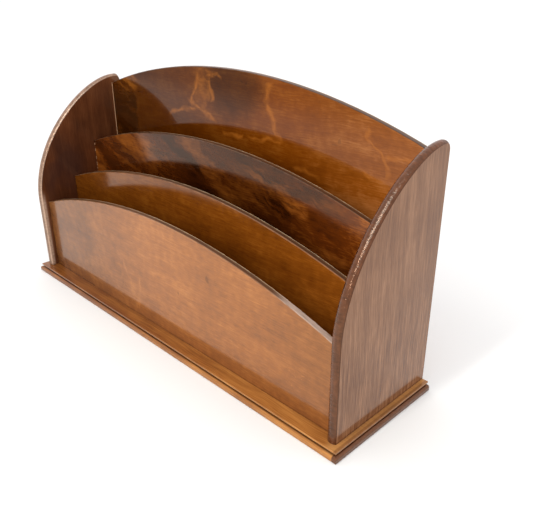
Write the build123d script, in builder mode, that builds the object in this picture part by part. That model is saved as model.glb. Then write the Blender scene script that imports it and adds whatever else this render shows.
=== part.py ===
from build123d import *
import os

# Letter rack for a desk: two shaped end boards stand on a moulded base and hold four
# arched boards, each behind and above the last, so that three slots are left for post.
# Millimetres. Origin at the middle of the base's underside, +X to the right of someone
# facing the rack, -Y towards them, +Z up.

# ---- driving dimensions ----

# Base board
base_width = 330.0
base_depth = 90.0
base_thick = 6.4

# Mould along the front and both ends of the base: a square lip, a quirk cut in below it,
# then a quarter round, a narrow upright and a small under-round
lip_in = 1.3
lip_drop = 1.2
quirk_in = 2.4
quirk_drop = 2.5
ovolo_radius = 1.6
under_round = 0.6
top_arris = 0.3

# End boards; the edge is crowned, and meets both faces at an arris
side_overhang = 5.2
front_overhang = 5.1
end_thick = 6.2
end_height = 150.6
end_shoulder = 57.9
crest_back = 4.4
corner_round = 3.0
toe_pull = 50.3
crest_pull = 29.3
edge_crown = 1.5
corner_share = 0.9
blank_spare = 0.1

# Arched boards, front to back: name, setback of the front face from the front of the base,
# height of the crown above the base, thickness
divider_thick = 4.0
back_thick = 4.4
arched_boards = [
    ("front_panel", 11.2, 82.4, divider_thick),
    ("middle_divider", 37.5, 99.0, divider_thick),
    ("rear_divider", 59.4, 125.2, divider_thick),
    ("back_panel", 82.2, 170.2, back_thick),
]
arch_radius = 463.5
crown_ease = 0.5

# Joints: stopped housings in the end boards, shallow grooves in the base
housing_depth = 2.4
housing_clear = 0.05
housing_end_clear = 0.2
groove_depth = 1.6

# Countersunk wood screws, up through the base into the end boards
screw_length = 19.0
screw_radius = 1.1
screw_point = 3.0
head_radius = 2.15
head_height = 1.25
head_sink = 0.4
slot_length = 5.0
slot_width = 0.6
slot_depth = 0.55
pilot_spare = 1.0
screw_clear = 0.1
screw_setback = 18.0

# ---- worked-out places ----

front_y = -base_depth / 2
back_y = base_depth / 2
end_front_y = front_y + front_overhang
outer_x = base_width / 2 - side_overhang
inner_x = outer_x - end_thick
end_middle_x = (outer_x + inner_x) / 2
end_top = base_thick + end_height
crown_radius = ((end_thick / 2) ** 2 + edge_crown**2) / (2 * edge_crown)
corner_radius = min(corner_round, corner_share * crown_radius)
panel_half = inner_x + housing_depth - housing_end_clear
panel_foot = base_thick - groove_depth
arch_drop = arch_radius - (arch_radius**2 - inner_x**2) ** 0.5
screw_places = [
    (side * end_middle_x, y)
    for side in (-1, 1)
    for y in (end_front_y + screw_setback, back_y - screw_setback)
]


def save(part, name):
    part.label = name
    export_step(part, f"parts/{name}.step")


os.makedirs("parts", exist_ok=True)

# ---- the pieces ----

# Base: the front's section run along X, cut to the ends' section, which mitres the mould
with BuildPart() as base_board:
    lip_low = base_thick - lip_drop
    quirk_low = base_thick - quirk_drop
    ovolo_low = quirk_low - ovolo_radius
    with BuildSketch(Plane.YZ) as front_section:
        with BuildLine():
            start = (front_y + under_round, 0)
            upright = (front_y, under_round)
            shoulder = (front_y, ovolo_low)
            ovolo_top = (front_y + ovolo_radius, quirk_low)
            RadiusArc(start, upright, under_round)
            Line(upright, shoulder)
            RadiusArc(shoulder, ovolo_top, ovolo_radius)
            Polyline(
                ovolo_top,
                (front_y + quirk_in, quirk_low),
                (front_y + quirk_in, lip_low),
                (front_y + lip_in, lip_low),
                (front_y + lip_in, base_thick),
                (back_y, base_thick),
                (back_y, 0),
                start,
            )
        make_face()
    extrude(amount=base_width / 2, both=True)
    with BuildSketch(Plane.XZ) as end_section:
        with BuildLine():
            edge = base_width / 2
            RadiusArc((edge, under_round), (edge - under_round, 0), under_round)
            Line((edge, under_round), (edge, ovolo_low))
            RadiusArc((edge - ovolo_radius, quirk_low), (edge, ovolo_low), ovolo_radius)
            Polyline(
                (edge - ovolo_radius, quirk_low),
                (edge - quirk_in, quirk_low),
                (edge - quirk_in, lip_low),
                (edge - lip_in, lip_low),
                (edge - lip_in, base_thick),
                (0, base_thick),
            )
            Line((edge - under_round, 0), (0, 0))
            mirror(about=Plane.YZ)
        make_face()
    extrude(amount=base_depth / 2, both=True, mode=Mode.INTERSECT)
    top_rim = base_board.faces().sort_by(Axis.Z)[-1].edges()
    fillet(top_rim, top_arris)
    # Grooves for the feet of the arched boards
    for name, setback, crown, thick in arched_boards:
        with BuildSketch(Plane.XY.offset(base_thick)):
            with Locations((0, front_y + setback + thick / 2)):
                Rectangle(2 * (panel_half + housing_end_clear), thick + 2 * housing_clear)
        extrude(amount=-groove_depth, mode=Mode.SUBTRACT)
    # Screw holes, countersunk from below
    with BuildSketch(Plane.XY):
        with Locations(*screw_places):
            Circle(screw_radius + screw_clear)
    extrude(amount=base_thick, mode=Mode.SUBTRACT)
    with Locations(*[Location((x, y, head_sink)) for x, y in screw_places]):
        Cone(
            head_radius + screw_clear,
            screw_radius + screw_clear,
            head_height,
            align=(Align.CENTER, Align.CENTER, Align.MIN),
            mode=Mode.SUBTRACT,
        )
        Cylinder(
            head_radius + screw_clear,
            head_sink,
            align=(Align.CENTER, Align.CENTER, Align.MAX),
            mode=Mode.SUBTRACT,
        )
save(base_board.part, "base_board")

# End boards: a straight front edge that sweeps up and back to the crest. Each is shaped
# from a thicker blank with a full round along its rim, then brought down to thickness.
for side, end_name in ((-1, "left_end"), (1, "right_end")):
    with BuildPart() as end_board:
        with BuildSketch(Plane.YZ.offset(side * end_middle_x)) as end_outline:
            with BuildLine():
                toe = (end_front_y, base_thick)
                shoulder = (end_front_y, base_thick + end_shoulder)
                crest = (back_y - crest_back, end_top)
                back_top = (back_y + crown_radius, end_top)
                Line(toe, shoulder)
                Bezier(
                    shoulder,
                    (end_front_y, shoulder[1] + toe_pull),
                    (crest[0] - crest_pull, end_top),
                    crest,
                )
                Polyline(crest, back_top, (back_top[0], base_thick), toe)
            make_face()
        extrude(amount=crown_radius + blank_spare, both=True)
        rim = end_board.faces().filter_by(Axis.X).edges()
        rim = rim.filter_by(lambda edge: edge.center().Z > base_thick + blank_spare)
        rim = rim.filter_by(lambda edge: edge.center().Y < back_y)
        fillet(rim, crown_radius)
        with BuildSketch(Plane.YZ.offset(side * inner_x)):
            with Locations((back_y, base_thick)):
                Rectangle(base_depth, 2 * end_height, align=(Align.MAX, Align.MIN))
        extrude(amount=side * end_thick, mode=Mode.INTERSECT)
        top_corner = end_board.faces().sort_by(Axis.Y)[-1].edges()
        top_corner = top_corner.filter_by(lambda edge: edge.center().Z > end_top - crown_radius)
        fillet(top_corner, corner_radius)
        # Stopped housings for the ends of the arched boards
        for name, setback, crown, thick in arched_boards:
            with BuildSketch(Plane.YZ.offset(side * inner_x)):
                top = base_thick + crown - arch_drop + housing_clear
                low = (front_y + setback - housing_clear, base_thick)
                with Locations(low):
                    Rectangle(
                        thick + 2 * housing_clear,
                        top - base_thick,
                        align=(Align.MIN, Align.MIN),
                    )
            extrude(amount=side * housing_depth, mode=Mode.SUBTRACT)
        # Pilot holes for the base screws
        pilot_depth = screw_length + head_sink - base_thick + pilot_spare
        with BuildSketch(Plane.XY.offset(base_thick)):
            with Locations(*[place for place in screw_places if place[0] * side > 0]):
                Circle(screw_radius + screw_clear)
        extrude(amount=pilot_depth, mode=Mode.SUBTRACT)
    save(end_board.part, end_name)

# Arched boards: straight foot and sides, a shallow arch along the top
for name, setback, crown, thick in arched_boards:
    face_y = front_y + setback
    side_top = base_thick + crown - arch_radius + (arch_radius**2 - panel_half**2) ** 0.5
    with BuildPart() as arched_board:
        with BuildSketch(Plane.XZ.offset(-face_y)) as arched_outline:
            with BuildLine():
                left_top = (-panel_half, side_top)
                right_top = (panel_half, side_top)
                ThreePointArc(left_top, (0, base_thick + crown), right_top)
                Polyline(right_top, (panel_half, panel_foot), (-panel_half, panel_foot), left_top)
            make_face()
        extrude(amount=-thick)
        crown_edges = arched_board.edges().filter_by(GeomType.CIRCLE)
        fillet(crown_edges, crown_ease)
    save(arched_board.part, name)

# Base screws: slotted, countersunk, heads just below the underside
with BuildPart() as base_screws:
    with BuildSketch(Plane.XZ) as screw_section:
        with BuildLine():
            Polyline(
                (0, head_sink),
                (head_radius, head_sink),
                (screw_radius, head_sink + head_height),
                (screw_radius, head_sink + screw_length - screw_point),
                (0, head_sink + screw_length),
                (0, head_sink),
            )
        make_face()
    revolve(axis=Axis.Z)
    with Locations((0, 0, head_sink)):
        Box(
            slot_length,
            slot_width,
            slot_depth,
            align=(Align.CENTER, Align.CENTER, Align.MIN),
            mode=Mode.SUBTRACT,
        )
screws = [Location((x, y, 0)) * base_screws.part for x, y in screw_places]
save(Compound(children=screws), "base_screws")
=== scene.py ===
import math

import bpy
from mathutils import Matrix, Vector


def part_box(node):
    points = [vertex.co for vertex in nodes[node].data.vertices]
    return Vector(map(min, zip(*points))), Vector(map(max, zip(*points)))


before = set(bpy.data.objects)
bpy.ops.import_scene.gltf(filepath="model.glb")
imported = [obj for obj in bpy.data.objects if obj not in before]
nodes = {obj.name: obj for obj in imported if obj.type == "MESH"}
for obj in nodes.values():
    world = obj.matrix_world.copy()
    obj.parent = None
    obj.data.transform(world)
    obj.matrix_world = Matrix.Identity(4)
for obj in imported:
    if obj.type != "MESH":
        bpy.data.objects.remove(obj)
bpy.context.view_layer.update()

MM = 0.001

# ---- camera, floor and light ----

CAMERA_PLACE = (0.3198, -0.2473, 0.2405)
CAMERA_AZIMUTH = 45.49
CAMERA_ELEVATION = 24.94
CAMERA_ROLL = -0.36
CAMERA_LENS = 42.25
CAMERA_SENSOR = 36.0

SKY_COLOUR = (1.0, 0.9, 0.88)
SKY_STRENGTH = 1.2
LAMP_COLOUR = (1.0, 0.88, 0.8)
GLINT_COLOUR = (0.6, 0.82, 1.0)
LAMP_AIM = (0, 0, 0.08)
LAMP_DISTANCE = 1.1
FLOOR_SIZE = 60.0
FLOOR_COLOUR = (0.87, 0.965, 0.985)
FLOOR_ROUGHNESS = 0.9


def turned(axis, degrees):
    return Matrix.Rotation(math.radians(degrees), 4, axis)


def make_camera():
    data = bpy.data.cameras.new("camera")
    data.sensor_width = CAMERA_SENSOR
    data.lens = CAMERA_LENS
    data.clip_start = 0.01
    data.clip_end = 100.0
    camera = bpy.data.objects.new("camera", data)
    bpy.context.scene.collection.objects.link(camera)
    camera.matrix_world = (
        Matrix.Translation(CAMERA_PLACE)
        @ turned("Z", CAMERA_AZIMUTH)
        @ turned("X", 90.0 - CAMERA_ELEVATION)
        @ turned("Z", CAMERA_ROLL)
    )
    bpy.context.scene.camera = camera


def make_light(
    name, azimuth, elevation, width, height, power, colour=LAMP_COLOUR, gloss_only=False
):
    """A soft rectangular light that looks at the rack. Azimuth 0 is in front of it."""
    data = bpy.data.lights.new(name, "AREA")
    data.shape = "RECTANGLE"
    data.size = width
    data.size_y = height
    data.energy = power
    data.color = colour
    light = bpy.data.objects.new(name, data)
    bpy.context.scene.collection.objects.link(light)
    aim = Matrix.Translation(LAMP_AIM) @ turned("Z", azimuth) @ turned("X", 90.0 - elevation)
    light.matrix_world = aim @ Matrix.Translation((0, 0, LAMP_DISTANCE))
    light.visible_diffuse = not gloss_only


def make_surroundings():
    world = bpy.data.worlds.new("studio")
    bpy.context.scene.world = world
    world.use_nodes = True
    background = world.node_tree.nodes["Background"]
    background.inputs["Color"].default_value = (*SKY_COLOUR, 1)
    background.inputs["Strength"].default_value = SKY_STRENGTH
    bpy.context.scene.view_settings.view_transform = "Standard"
    bpy.ops.object.select_all(action="DESELECT")
    bpy.ops.mesh.primitive_plane_add(size=FLOOR_SIZE)
    floor = bpy.context.active_object
    floor.name = "floor"
    paper = bpy.data.materials.new("floor_paper")
    paper.use_nodes = True
    shader = paper.node_tree.nodes["Principled BSDF"]
    shader.inputs["Base Color"].default_value = (*FLOOR_COLOUR, 1)
    shader.inputs["Roughness"].default_value = FLOOR_ROUGHNESS
    floor.data.materials.append(paper)
    make_light("window", azimuth=6, elevation=40, width=0.03, height=0.9, power=4.9)
    make_light(
        "window_glint",
        azimuth=14,
        elevation=57,
        width=0.6,
        height=0.65,
        power=9,
        colour=GLINT_COLOUR,
        gloss_only=True,
    )


# ---- writing materials ----

# The varnish: its refractive index, and the warm tint of what it mirrors
VARNISH_GLOSS = 1.63
VARNISH_TINT = (1.0, 0.66, 0.45)

# A Mix node's sockets share their names between numbers and colours, so they go by place
MIX_FACTOR, MIX_FIRST, MIX_SECOND = 0, 6, 7
MIX_RESULT = 2


class Number:
    """A number in a finish. Arithmetic on it adds the Math nodes that work it out."""

    def __init__(self, finish, socket):
        self.finish = finish
        self.socket = socket

    def __add__(self, other):
        return self.finish.math("ADD", self, other)

    __radd__ = __add__

    def __sub__(self, other):
        return self.finish.math("SUBTRACT", self, other)

    def __rsub__(self, other):
        return self.finish.math("SUBTRACT", other, self)

    def __mul__(self, other):
        return self.finish.math("MULTIPLY", self, other)

    __rmul__ = __mul__

    def __truediv__(self, other):
        return self.finish.math("DIVIDE", self, other)

    def __pow__(self, other):
        return self.finish.math("POWER", self, other)

    def __abs__(self):
        return self.finish.math("ABSOLUTE", self)

    def high(self, other):
        return self.finish.math("MAXIMUM", self, other)

    def rise(self, start, end):
        """0 below start, 1 above end, smooth between; start may be the larger."""
        values = {"Value": self, "From Min": start, "From Max": end}
        return self.finish.node("MapRange", {"interpolation_type": "SMOOTHSTEP"}, values)

    def band(self, middle, half_width, soft):
        """1 within half_width of middle, falling to 0 over soft."""
        return abs(self - middle).rise(half_width + soft, half_width)


class Finish:
    """A material as it is written: its node tree, its shader and its coordinates in mm."""

    def __init__(self, name, gloss=VARNISH_GLOSS):
        self.material = bpy.data.materials.new(name)
        self.material.use_nodes = True
        self.tree = self.material.node_tree
        self.shader = self.tree.nodes["Principled BSDF"]
        self.shader.inputs["IOR"].default_value = gloss
        self.shader.inputs["Specular Tint"].default_value = (*VARNISH_TINT, 1)
        coordinate = self.tree.nodes.new("ShaderNodeTexCoord")
        self.place = self.vector("SCALE", coordinate.outputs["Object"], Scale=1 / MM)
        self.normal = coordinate.outputs["Normal"]

    def link(self, value, socket):
        if isinstance(value, Number):
            value = value.socket
        if isinstance(value, bpy.types.NodeSocket):
            self.tree.links.new(value, socket)
        elif isinstance(value, tuple) and len(value) == 3 and socket.type == "RGBA":
            socket.default_value = (*value, 1)
        else:
            socket.default_value = value

    def node(self, kind, settings=None, values=None, output=0):
        """Adds a node, sets it, then fills its inputs, by name or by place in the list."""
        made = self.tree.nodes.new("ShaderNode" + kind)
        for name, setting in (settings or {}).items():
            if name == "stops":
                ramp = made.color_ramp
                while len(ramp.elements) < len(setting):
                    ramp.elements.new(0.5)
                for element, (position, colour) in zip(ramp.elements, setting):
                    element.position = position
                    element.color = (*colour, 1)
            elif name == "points":
                curve = made.mapping.curves[0]
                while len(curve.points) < len(setting):
                    curve.points.new(0.5, 0.5)
                for point, place in zip(curve.points, setting):
                    point.location = place
                made.mapping.update()
            else:
                setattr(made, name, setting)
        for name, value in (values or {}).items():
            self.link(value, made.inputs[name])
        result = made.outputs[output]
        return Number(self, result) if result.type == "VALUE" else result

    def math(self, operation, *values):
        return self.node("Math", {"operation": operation}, dict(enumerate(values)))

    def vector(self, operation, *values, **named):
        inputs = {**dict(enumerate(values)), **named}
        return self.node("VectorMath", {"operation": operation}, inputs)

    def split(self, vector):
        made = self.tree.nodes.new("ShaderNodeSeparateXYZ")
        self.link(vector, made.inputs[0])
        return [Number(self, socket) for socket in made.outputs]

    def moved(self, move):
        """The coordinates in mm, moved along so that two noises differ."""
        return self.node("Mapping", {}, {"Vector": self.place, "Location": move})

    def noise(self, vector, scale, detail=2.0, roughness=0.5):
        values = {"Vector": vector, "Scale": scale, "Detail": detail, "Roughness": roughness}
        return self.node("TexNoise", {}, values)

    def ramp(self, factor, *stops):
        return self.node("ValToRGB", {"stops": stops}, {"Fac": factor})

    def mix(self, factor, first, second, blend="MIX"):
        settings = {"data_type": "RGBA", "blend_type": blend, "clamp_factor": True}
        values = {MIX_FACTOR: factor, MIX_FIRST: first, MIX_SECOND: second}
        return self.node("Mix", settings, values, MIX_RESULT)

    def shade(self, colour, amount):
        """The colour times a number."""
        return self.vector("SCALE", colour, Scale=amount)

    def varnish(self, colour, roughness, height=None, depth=1.0, film=None):
        """Joins the colour, the gloss, a bump of depth mm and a second film of varnish."""
        self.link(colour, self.shader.inputs["Base Color"])
        self.link(roughness, self.shader.inputs["Roughness"])
        if film is not None:
            self.link(film, self.shader.inputs["Coat Weight"])
        if height is not None:
            values = {"Height": height, "Distance": depth * MM, "Strength": 1.0}
            self.link(self.node("Bump", {}, values), self.shader.inputs["Normal"])
        return self.material


# ---- finishes ----

# Places on the rack in mm, from the frame
BASE_LOW, BASE_HIGH = [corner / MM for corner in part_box("base_board")]
END_LOW, END_HIGH = [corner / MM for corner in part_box("right_end")]
PANEL_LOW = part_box("front_panel")[0] / MM
INNER_FACE = END_LOW[0]
ARCH_RADIUS = 463.5

# Heights between which the back panel's second film of varnish runs out
FILM_FULL, FILM_GONE = 146.0, 168.0

# Figure is drawn on coordinates that waver this far, in waves this long
WAVER_REACH = 8.0
WAVER_SIZE = 9.0

# Tints that lie over the stain
PALE_TOP_TINT = (0.5, 0.42, 0.36)
RUBBED_FACE = (0.42, 0.25, 0.13)
RUBBED_WOOD_AND_HIGHLIGHT = (0.5, 0.37, 0.28)
GLUE_HIGHLIGHT = (0.5, 0.33, 0.2)
ARRIS_DARK = (0.045, 0.014, 0.006)
SEAM_STAIN = (0.05, 0.016, 0.006)
QUIRK_DARK = (0.03, 0.01, 0.004)
DARK_BLOTCH_WITH_SHEEN = (0.022, 0.013, 0.014)
PALE_LEDGE = (0.6, 0.36, 0.14)


def streaks(finish, along, across, through, length, width, seed=0.0, detail=3.0, roughness=0.6):
    """Noise drawn out along the grain: length and width in mm."""
    place = finish.node(
        "CombineXYZ",
        {},
        {"X": along / length + seed, "Y": across / width, "Z": through / width + 0.37 * seed},
    )
    return finish.noise(place, 1.0, detail, roughness)


def cloud(finish, size, seed=0.0, detail=2.0):
    """Broad blotches about size mm across."""
    return finish.noise(finish.moved((seed * size, 0, 0)), 1.0 / size, detail)


def spot(x, z, centre_x, centre_z, reach_x, reach_z):
    """An oval patch on a board's face: 1 at its centre, 0 at its rim."""
    across = (x - centre_x) / reach_x
    up = (z - centre_z) / reach_z
    return (across * across + up * up).rise(1.0, 0.1)


def mark(finish, along, across, points, half_width, soft):
    """A line through the points (along, across), in mm: 1 on the line, fading at both ends."""
    first, last = points[0][0], points[-1][0]
    lowest = min(point[1] for point in points)
    span = max(point[1] for point in points) - lowest
    settings = {
        "points": [((a - first) / (last - first), (b - lowest) / span) for a, b in points]
    }
    share = (along - first) / (last - first)
    curve = finish.node("FloatCurve", settings, {"Value": share})
    gap = abs(across - curve * span - lowest)
    ends = share.rise(-0.02, 0.18) * share.rise(1.02, 0.82)
    return gap.rise(half_width + soft, half_width * 0.2) * ends


def panel_finish(
    name,
    node,
    stops,
    tones,
    seed,
    figure,
    gloss,
    edge=1.0,
    wave=8.0,
    joint=0.0,
    pale_top_edge=0.0,
    film=0.0,
):
    """Varnished plywood: grain along X, ply lines on the top edge, arrises pale from rubbing.
    stops are the stain's colours from dark to light. tones are (x, depth, sheen_grey): how
    dark or light the colour is along the board, and how far a painted sheen greys it there.
    figure draws the veneer's own marks. edge is how pale the top edge is, wave how far the
    grain wanders, joint how much dried glue there is at the left, painted pale as a highlight,
    pale_top_edge how strongly the top edge turns pale near its right end, and film how strong
    a second film of varnish is. wave is in mm and gloss is the varnish's refractive index."""
    finish = Finish(name, gloss)
    low, high = [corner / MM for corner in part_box(node)]
    x, y, z = finish.split(finish.place)
    depth = y * 0.2

    # Grain lines wander slowly up and down the board
    wander = (cloud(finish, 70.0, seed) - 0.5) * wave
    level = z + wander
    broad = streaks(finish, x, level, depth, 120.0, 9.0, seed)
    fine = streaks(finish, x, level, depth, 16.0, 0.8, seed + 4.0, 2.0)
    silk = streaks(finish, x, z, depth, 5.0, 0.4, seed + 9.0, 1.0)
    patch = cloud(finish, 34.0, seed + 3.0, 3.0)
    mottle = cloud(finish, 5.0, seed + 6.0, 3.0)
    amount = 0.5 + (broad - 0.5) * 0.5 + (fine - 0.5) * 0.4 + (silk - 0.5) * 0.35
    amount = amount + (patch - 0.5) * 0.5 + (mottle - 0.5) * 0.36

    waver = finish.noise(finish.moved((0.0, seed, 0.0)), 1.0 / WAVER_SIZE, 1.5)
    sway = finish.noise(finish.moved((0.0, seed + 90.0, 40.0)), 1.0 / WAVER_SIZE, 1.5)
    bent_x = x + (waver - 0.5) * WAVER_REACH
    bent_z = z + (sway - 0.5) * WAVER_REACH
    plain_amount = amount
    amount, shade, glow = figure(finish, bent_x, bent_z, level, amount)

    # The back of the board is plain
    nx, ny, nz = finish.split(finish.normal)
    front = ny.rise(0.3, -0.3)
    amount = plain_amount + (amount - plain_amount) * front
    shade = shade * front
    glow = glow * front

    # Stain over the grain, darker or lighter along the board and greyed by a painted sheen where
    # the tones ask, then the figure's marks
    colour = finish.ramp(amount, *stops)
    tone_stops = []
    for at, deep, sheen_grey in tones:
        tint = (deep, deep * (1 + sheen_grey * 0.1), deep * (1 + sheen_grey))
        tone_stops.append(((at + INNER_FACE) / (2 * INNER_FACE), tint))
    tone = finish.ramp((x + INNER_FACE) / (2 * INNER_FACE), *tone_stops)
    colour = finish.mix(1.0, colour, tone, "MULTIPLY")
    colour = finish.mix(shade, colour, finish.shade(colour, 0.35))
    colour = finish.mix(glow, colour, stops[-1][1])

    # Pores: short dark dashes
    pore = streaks(finish, x, level, depth, 2.6, 0.34, seed + 14.0, 1.0).rise(0.64, 0.76)
    colour = finish.mix(pore * 0.4, colour, finish.shade(colour, 0.45))

    # The top edge shows the plies: pale faces, a dark core between two glue lines
    top = abs(ny).rise(0.93, 0.6) * abs(nx).rise(0.9, 0.7)
    ply = (y - low[1]) / (high[1] - low[1])
    core_tone = streaks(finish, x, y, 0.0, 9.0, 0.7, seed + 30.0, 3.0)
    edge_wood = finish.ramp(
        ply + (core_tone - 0.5) * 0.12,
        (0.08, (0.2 * edge, 0.1 * edge, 0.045 * edge)),
        (0.24, (0.13 * edge, 0.06 * edge, 0.025 * edge)),
        (0.3, (0.03, 0.012, 0.005)),
        (0.4, (0.08, 0.038, 0.018)),
        (0.66, (0.1, 0.05, 0.024)),
        (0.72, (0.04, 0.018, 0.008)),
        (0.8, (0.34, 0.25, 0.15)),
        (0.9, (0.62, 0.52, 0.33)),
    )
    smoke = core_tone.rise(0.55, 0.3) * 0.5
    edge_wood = finish.mix(smoke, edge_wood, finish.shade(edge_wood, 0.4))
    colour = finish.mix(top, colour, edge_wood)

    # The top edge turns pale near its right end
    pale_top = top * x.rise(104.0, 122.0) * core_tone.rise(0.2, 0.5)
    colour = finish.mix(pale_top * pale_top_edge, colour, PALE_TOP_TINT)

    # Pale arris where face and edge meet, from rubbing
    arc = high[2] - ARCH_RADIUS + (ARCH_RADIUS * ARCH_RADIUS - x * x) ** 0.5
    chips = streaks(finish, x, y, z, 7.0, 3.0, seed + 40.0, 3.0)
    rub = (arc - z).rise(0.75, 0.3) * chips.rise(0.38, 0.56) * (1.0 - top)
    colour = finish.mix(rub * edge * 0.5, colour, RUBBED_FACE)

    # Darker line where the board meets the ends and the base
    seam = (INNER_FACE - abs(x)).rise(1.4, 0.1).high((z - BASE_HIGH[2]).rise(1.4, 0.1))
    colour = finish.mix(seam * (1.0 - top) * 0.5, colour, finish.shade(colour, 0.35))

    # Painted highlight: dried glue and filler along the left joint, painted pale where the glue
    # catches the light
    if joint:
        crumb = streaks(finish, z, x * 0.3, 0.0, 2.2, 2.0, seed + 60.0, 2.0)
        crumb = crumb.rise(0.62 - joint * 0.4, 0.72 - joint * 0.4)
        pale = (x + INNER_FACE).rise(0.95, 0.5) * crumb
        colour = finish.mix(pale, colour, GLUE_HIGHLIGHT)

    ripple = cloud(finish, 24.0, seed + 50.0, 1.0)
    height = pore * -0.5 + fine * 0.3 + ripple * 2.0
    roughness = 0.08 + patch * 0.06 + top * 0.18 + rub * 0.15
    # The second film of varnish runs thin towards the top
    second = z.rise(FILM_GONE, FILM_FULL) * film if film else None
    return finish.varnish(colour, roughness, height, 0.03, second)


def back_figure(finish, x, z, level, amount):
    """Bright growth lines: a flask shape left of the middle, long wavy lines to the right."""
    body = spot(x, z, -34.0, 159.0, 11.0, 17.0).rise(0.0, 0.6)
    cap = spot(x, z, -29.0, 171.0, 17.0, 5.0).rise(0.0, 0.8)
    right_line = [(135, 46), (139, 44), (143, 39), (151, 36), (160, 32), (168, 33), (175, 36)]
    far_line = [(127, 126), (134, 128), (139, 126), (143, 123), (147, 118), (151, 113), (158, 112)]
    lines = [
        (z, x, [(145, -46), (152, -46), (157, -44), (166, -39), (173, -41)], 0.4, 1.6),
        (z, x, [(150, -30), (154, -23), (158, -23), (164, -26), (175, -25)], 0.4, 1.6),
        (x, z, [(-52, 150), (-44, 148), (-35, 143), (-28, 142), (-18, 139)], 0.3, 1.6),
        (x, z, [(-76, 138), (-63, 141), (-50, 143), (-40, 145)], 0.3, 1.3),
        (x, z, [(-29, 173), (-20, 172), (-11, 169)], 0.4, 1.3),
        (z, x, right_line, 0.4, 1.9),
        (x, z, [(12, 136), (22, 133), (28, 134), (35, 137), (39, 136), (49, 137)], 0.3, 1.4),
        (x, z, [(-13, 134), (-3, 132), (9, 135)], 0.3, 1.4),
        (x, z, [(53, 120), (66, 121), (73, 120), (80, 116)], 0.2, 1.2),
        (z, x, far_line, 0.2, 1.1),
        (x, z, [(108, 132), (117, 129), (122, 128), (130, 130)], 0.2, 1.1),
        (x, z, [(125, 142), (135, 142), (144, 144)], 0.2, 1.2),
    ]
    curdle = finish.noise(finish.place, 1.0 / 8.0, 2.0)
    glow = body.high(cap) * (0.3 + curdle.rise(0.36, 0.6) * 0.7) * 0.25
    for along, across, points, half_width, soft in lines:
        glow = glow.high(mark(finish, along, across, points, half_width, soft * 1.7) * 0.36)
    broken = streaks(finish, x, z, 0.0, 6.0, 4.0, 61.0, 2.0).rise(0.3, 0.6)
    glow = glow * (0.35 + broken * 0.65)
    corner = spot(x, z, -130.0, 155.0, 20.0, 10.0) * 0.26
    knots = spot(x, z, 7.0, 170.0, 3.0, 1.8).high(spot(x, z, 12.0, 169.0, 2.4, 2.0))
    ticks = spot(x, z, 93.0, 146.0, 1.6, 2.6).high(spot(x, z, 90.0, 143.0, 3.4, 1.0))
    # Painted shade: the top middle is darkened where the varnish there mirrors less light
    painted_top_shade = spot(x, z, -2.0, 165.0, 40.0, 26.0) * 0.85
    left = x.rise(-116.0, -122.0) * z.rise(152.0, 138.0)
    flames = streaks(finish, x, z + x * 0.3, 0.0, 22.0, 5.0, 63.0, 3.0)
    sweep = streaks(finish, x, z + x * 0.15, 0.0, 60.0, 12.0, 67.0, 3.0)
    amount = amount + (sweep - 0.5) * 0.4
    shade = knots.high(ticks * 0.6).high(painted_top_shade)
    shade = shade.high(left * (0.35 + flames.rise(0.66, 0.36) * 0.6))
    # Painted shade and light: the upper right is darkened under its sheen, the lower right paled
    shade = shade.high(z.rise(118.0, 136.0) * x.rise(40.0, 100.0) * 0.3)
    amount = amount + z.rise(128.0, 112.0) * x.rise(60.0, 110.0) * 0.14
    return amount, shade, glow.high(corner * flames.rise(0.4, 0.6))


def front_figure(finish, x, z, level, amount):
    """A fan of pale and dark streaks rises from the foot left of the middle; scratches
    at the right."""
    fan = [
        ([(10, -33), (22, -35), (34, -40), (48, -50)], 0.8, 3.6),
        ([(10, -30), (22, -29), (34, -27), (44, -26)], 0.4, 2.6),
    ]
    grain = streaks(finish, z + x * 0.3, x, 0.0, 16.0, 1.6, 75.0, 3.0)
    glow = spot(x, z, -30.0, 18.0, 5.0, 3.4) * 0.4
    for points, half_width, soft in fan:
        ray = mark(finish, z, x, points, half_width, soft)
        glow = glow.high(ray * grain.rise(0.3, 0.7) * 0.5)
    scratch = streaks(finish, x, z, 0.0, 1.8, 0.7, 71.0, 1.0).rise(0.66, 0.74)
    glow = glow.high(scratch * spot(x, z, 123.0, 30.0, 14.0, 12.0) * 0.75)
    dark = mark(finish, z, x, [(8, -45), (20, -48), (34, -54), (46, -62)], 2.0, 7.0)
    dark = dark * grain.rise(0.7, 0.35) * 0.35
    ticks = spot(x, z, 51.0, 64.0, 1.6, 2.2).high(spot(x, z, 18.0, 43.0, 1.6, 1.0))
    curl = streaks(finish, z - x * 0.7, x + z * 0.5, 0.0, 26.0, 7.0, 73.0, 3.0)
    bruise = cloud(finish, 20.0, 77.0, 3.0).rise(0.5, 0.64) * x.rise(-40.0, -90.0) * 0.3
    # Painted shade: the foot of the panel darkens towards the base, more so at the right
    painted_foot_shade = z.rise(34.0, 8.0) * (0.28 + x.rise(40.0, 120.0) * 0.14)
    right = x.rise(100.0, 150.0) * 0.3
    amount = amount + (curl - 0.5) * x.rise(-20.0, -100.0) * 0.6
    return amount, dark.high(ticks * 0.55).high(bruise).high(painted_foot_shade).high(right), glow


def middle_figure(finish, x, z, level, amount):
    """Plain straight grain with fine pale flecks to the right."""
    fleck = streaks(finish, x, level, 0.0, 7.0, 0.45, 81.0, 2.0).rise(0.6, 0.75)
    glow = fleck * x.rise(-20.0, 120.0) * 0.3
    return amount, 0.0, glow


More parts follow.
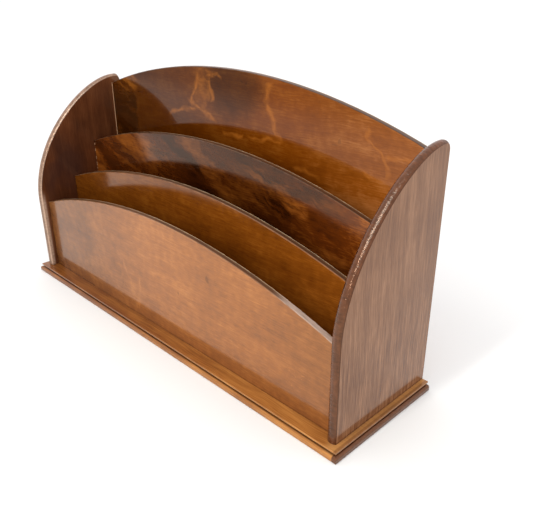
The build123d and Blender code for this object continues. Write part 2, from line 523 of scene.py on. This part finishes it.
def rear_figure(finish, x, z, level, amount):
    """Walnut: soft dark and russet flames that fall to the right, and one black vein."""
    tilted = z + x * 0.35
    warp = (cloud(finish, 50.0, 7.0, 2.0) - 0.5) * 22.0
    flame = streaks(finish, x, tilted + warp, 0.0, 60.0, 17.0, 2.0, 1.0, 0.5)
    tongue = streaks(finish, x, tilted + warp * 0.5, 0.0, 18.0, 4.0, 12.0, 2.0)
    amount = 0.5 + (amount - 0.5) * 0.8 + (flame - 0.5) * 1.1 + (tongue - 0.5) * 0.5
    vein = [(-60, 130), (-50, 125), (-40, 120), (-31, 118), (-20, 114), (-6, 105)]
    shade = mark(finish, x, z, vein, 1.6, 3.4)
    dark_patches = [
        (-43.0, 126.0, 8.0, 4.0),
        (-70.0, 112.0, 15.0, 6.0),
        (-56.0, 114.0, 11.0, 3.0),
        (54.0, 119.0, 20.0, 4.0),
        (84.0, 115.0, 18.0, 4.0),
        (70.0, 103.0, 30.0, 7.0),
    ]
    for patch in dark_patches:
        shade = shade.high(spot(x, z, *patch) * tongue.rise(0.7, 0.35) * 0.8)
    pale = spot(x, z, 38.0, 119.0, 20.0, 8.0).high(spot(x, z, 102.0, 113.0, 22.0, 4.0))
    glow = pale * tongue.rise(0.35, 0.65) * 0.26
    pale_lines = [
        [(-116, 106), (-101, 105), (-90, 103), (-72, 97)],
        [(-114, 98), (-98, 95), (-84, 91), (-62, 83)],
    ]
    for points in pale_lines:
        glow = glow.high(mark(finish, x, z, points, 0.4, 2.6) * tongue.rise(0.3, 0.6) * 0.4)
    return amount, shade, glow


def end_finish(name, side, stops, strip_dark, strip_light, grain=1.0, worn_with_highlight=False):
    """Varnished open-grained wood, grain upright; the crowned edge is darker end grain.
    side is -1 for the left end and 1 for the right. An end with worn_with_highlight has a dark
    blotch behind its shoulder, its bluish tint a painted sheen, and a pale inner arris: a
    painted highlight up the crowned edge, and wood pale from rubbing low on the inner face."""
    finish = Finish(name)
    x, y, z = finish.split(finish.place)
    wander = (cloud(finish, 60.0, side * 3.0) - 0.5) * 14.0
    level = y + wander * 0.5 + z * 0.02
    depth = x * 0.3
    lines = streaks(finish, z, level, depth, 20.0, 1.0, side * 5.0, 3.0)
    broad = streaks(finish, z + level, level, depth, 70.0, 7.0, side * 7.0, 2.0)
    fine = streaks(finish, z, y, depth, 6.0, 0.5, side * 9.0, 1.0)
    patch = cloud(finish, 26.0, side * 11.0, 3.0)
    open_grain = (1.0 + z.rise(95.0, 35.0) * 0.8) * grain
    amount = (lines - 0.5) * open_grain + (broad - 0.5) * 0.7 + (fine - 0.5) * 0.4
    amount = amount + (patch - 0.5) * 0.6 + 0.5
    face = finish.ramp(amount, *stops)
    nx, ny, nz = finish.split(finish.normal)
    strip = abs(nx).rise(0.97, 0.9)
    if worn_with_highlight:
        # A dark blotch behind the shoulder; its bluish tint is a painted sheen
        blotch = spot(y, z, -16.0, 84.0, 24.0, 42.0) * patch.rise(0.3, 0.6)
        face = finish.mix(blotch * 0.6, face, DARK_BLOTCH_WITH_SHEEN)
    fleck = streaks(finish, x, z + y * 0.5, y - z * 0.5, 5.0, 1.5, side * 13.0, 2.0)
    mottle = streaks(finish, z, y, x, 14.0, 3.0, side * 15.0, 3.0)
    edge_wood = finish.ramp(mottle * 0.6 + fleck * 0.4, (0.3, strip_dark), (0.7, strip_light))
    colour = finish.mix(strip, face, edge_wood)

    # A dark line lies in the arris round the face
    arris = abs(x).rise(END_HIGH[0] - 0.5, END_HIGH[0] - 0.15) * strip
    colour = finish.mix(arris * 0.85, colour, ARRIS_DARK)
    if worn_with_highlight:
        # Painted highlight: the pale inner arris up the crowned edge, with wood pale from rubbing
        # low on the inner face by the front
        pale = abs(x).rise(INNER_FACE + 1.5, INNER_FACE + 0.5) * strip
        pale = pale * (0.35 + z.rise(90.0, 66.0) * 0.65)
        low_arris = y.rise(PANEL_LOW[1] - 1.5, PANEL_LOW[1] - 3.5) * z.rise(74.0, 60.0)
        pale = pale.high(low_arris * (1.0 - strip))
        pale = pale * (0.55 + fleck.rise(0.3, 0.6) * 0.35)
        colour = finish.mix(pale, colour, RUBBED_WOOD_AND_HIGHLIGHT)
    seam = (z - BASE_HIGH[2]).rise(1.6, 0.1)
    colour = finish.mix(seam * 0.6, colour, SEAM_STAIN)

    height = lines * 0.4 + fine * 0.2 + strip * fleck * 6.0 + strip * mottle * 3.0
    roughness = 0.1 + patch * 0.06
    return finish.varnish(colour, roughness, height, 0.05)


def base_finish():
    """Golden stained base: grain along X, darker in the quirk, end grain on the ends."""
    finish = Finish("base_finish")
    x, y, z = finish.split(finish.place)
    nx, ny, nz = finish.split(finish.normal)
    upward = nz.rise(0.8, 0.95)
    wander = (cloud(finish, 60.0, 2.0) - 0.5) * 8.0
    level = y + wander
    broad = streaks(finish, x, level, z, 70.0, 4.0, 1.0)
    fine = streaks(finish, x, level, z, 18.0, 0.7, 3.0, 2.0)
    patch = cloud(finish, 26.0, 4.0, 2.0)
    amount = 0.5 + (broad - 0.5) * 0.8 + (fine - 0.5) * 0.8 + (patch - 0.5) * 0.6
    warm = x.rise(-60.0, 100.0) * 0.38
    colour = finish.ramp(
        amount - 0.26 + warm,
        (0.1, (0.15, 0.05, 0.012)),
        (0.5, (0.3, 0.12, 0.026)),
        (0.9, (0.5, 0.23, 0.055)),
    )

    # The top of the ledge outside the right end is paler
    ledge = x.rise(INNER_FACE, INNER_FACE + 5.0) * upward * 0.3
    colour = finish.mix(ledge, colour, PALE_LEDGE)

    # End grain shows on the mould at both ends
    end = x.rise(BASE_HIGH[0] - 3.4, BASE_HIGH[0] - 2.8)
    end = end.high(x.rise(1.0 - BASE_HIGH[0], -BASE_HIGH[0]))
    end = end * (0.5 + z.rise(5.0, 4.4) * 0.5)
    pores = streaks(finish, y, x, z, 3.0, 1.0, 6.0, 3.0)
    end_wood = finish.ramp(pores, (0.3, (0.055, 0.018, 0.006)), (0.7, (0.135, 0.05, 0.02)))
    colour = finish.mix(end, colour, end_wood)

    # The quirk is darker
    quirk = z.band(4.6, 0.5, 0.5) * (y - BASE_LOW[1]).rise(3.4, 3.0) * (1.0 - end)
    colour = finish.mix(quirk * 0.85, colour, QUIRK_DARK)
    height = fine * 0.4 + end * pores * 1.5
    return finish.varnish(colour, 0.12 + patch * 0.08 + end * 0.06, height, 0.04)


def screw_finish():
    """Dull, tarnished steel."""
    finish = Finish("dull_steel")
    finish.shader.inputs["Metallic"].default_value = 0.9
    tarnish = cloud(finish, 1.6, 1.0, 3.0)
    colour = finish.ramp(tarnish, (0.3, (0.12, 0.1, 0.08)), (0.7, (0.36, 0.34, 0.31)))
    return finish.varnish(colour, 0.3 + tarnish * 0.25, tarnish, 0.02)


def dress(node, material):
    """Gives a piece its finish, on every face."""
    slots = nodes[node].data.materials
    slots.clear()
    slots.append(material)
    for polygon in nodes[node].data.polygons:
        polygon.material_index = 0


make_camera()
make_surroundings()

dress("base_board", base_finish())
dress("base_screws", screw_finish())
dress(
    "left_end",
    end_finish(
        "left_end_finish",
        side=-1.0,
        stops=[
            (0.1, (0.04, 0.014, 0.007)),
            (0.5, (0.105, 0.035, 0.013)),
            (0.9, (0.18, 0.065, 0.024)),
        ],
        strip_dark=(0.07, 0.04, 0.026),
        # The left strip's pale, greyer end grain is partly a painted reflection of the sheen on
        # the edge
        strip_light=(0.32, 0.22, 0.16),
        grain=0.3,
        worn_with_highlight=True,
    ),
)
dress(
    "right_end",
    end_finish(
        "right_end_finish",
        side=1.0,
        stops=[
            (0.1, (0.09, 0.031, 0.013)),
            (0.5, (0.18, 0.08, 0.036)),
            (0.9, (0.3, 0.155, 0.08)),
        ],
        strip_dark=(0.03, 0.009, 0.004),
        strip_light=(0.13, 0.046, 0.019),
    ),
)
dress(
    "front_panel",
    panel_finish(
        "front_panel_finish",
        "front_panel",
        stops=[
            (0.1, (0.13, 0.052, 0.022)),
            (0.5, (0.27, 0.102, 0.028)),
            (0.9, (0.46, 0.19, 0.05)),
        ],
        tones=[
            (-150, 0.58, 0),
            (-100, 0.72, 0),
            (-60, 0.92, 0),
            (-10, 1.13, 0),
            (60, 1.13, 0),
            (150, 1.1, 0),
        ],
        seed=1.0,
        figure=front_figure,
        gloss=VARNISH_GLOSS,
        pale_top_edge=0.8,
        wave=5.0,
    ),
)
dress(
    "middle_divider",
    panel_finish(
        "middle_divider_finish",
        "middle_divider",
        stops=[
            (0.1, (0.07, 0.018, 0.0015)),
            (0.5, (0.17, 0.05, 0.004)),
            (0.9, (0.32, 0.11, 0.012)),
        ],
        tones=[
            (-150, 0.7, 0),
            (-60, 0.85, 0),
            (60, 1.1, 0),
            (150, 1.35, 0),
        ],
        seed=2.0,
        figure=middle_figure,
        gloss=1.565,
        edge=0.7,
        wave=4.0,
    ),
)
dress(
    "rear_divider",
    panel_finish(
        "rear_divider_finish",
        "rear_divider",
        stops=[
            (0.1, (0.014, 0.0035, 0.001)),
            (0.5, (0.06, 0.014, 0.0015)),
            (0.9, (0.21, 0.066, 0.009)),
        ],
        tones=[
            (-150, 1.4, 0),
            (-90, 1.15, 0),
            (-40, 0.85, 0),
            (60, 0.8, 0),
            (100, 1.9, 0),
            (150, 2.3, 0),
        ],
        seed=3.0,
        figure=rear_figure,
        gloss=1.5,
        edge=0.3,
        joint=0.2,
    ),
)
dress(
    "back_panel",
    panel_finish(
        "back_panel_finish",
        "back_panel",
        stops=[
            (0.1, (0.16, 0.034, 0.001)),
            (0.5, (0.29, 0.073, 0.003)),
            (0.9, (0.5, 0.17, 0.02)),
        ],
        tones=[
            (-150, 0.2, 0),
            (-110, 0.2, 0),
            (-60, 0.28, 0),
            (0, 0.46, 0),
            (50, 0.6, 0),
            # The greyer tones at the right are a painted sheen
            (100, 0.88, 1),
            (150, 1.2, 2),
        ],
        seed=4.0,
        figure=back_figure,
        gloss=1.25,
        edge=0.3,
        wave=14.0,
        joint=1.0,
        film=0.33,
    ),
)
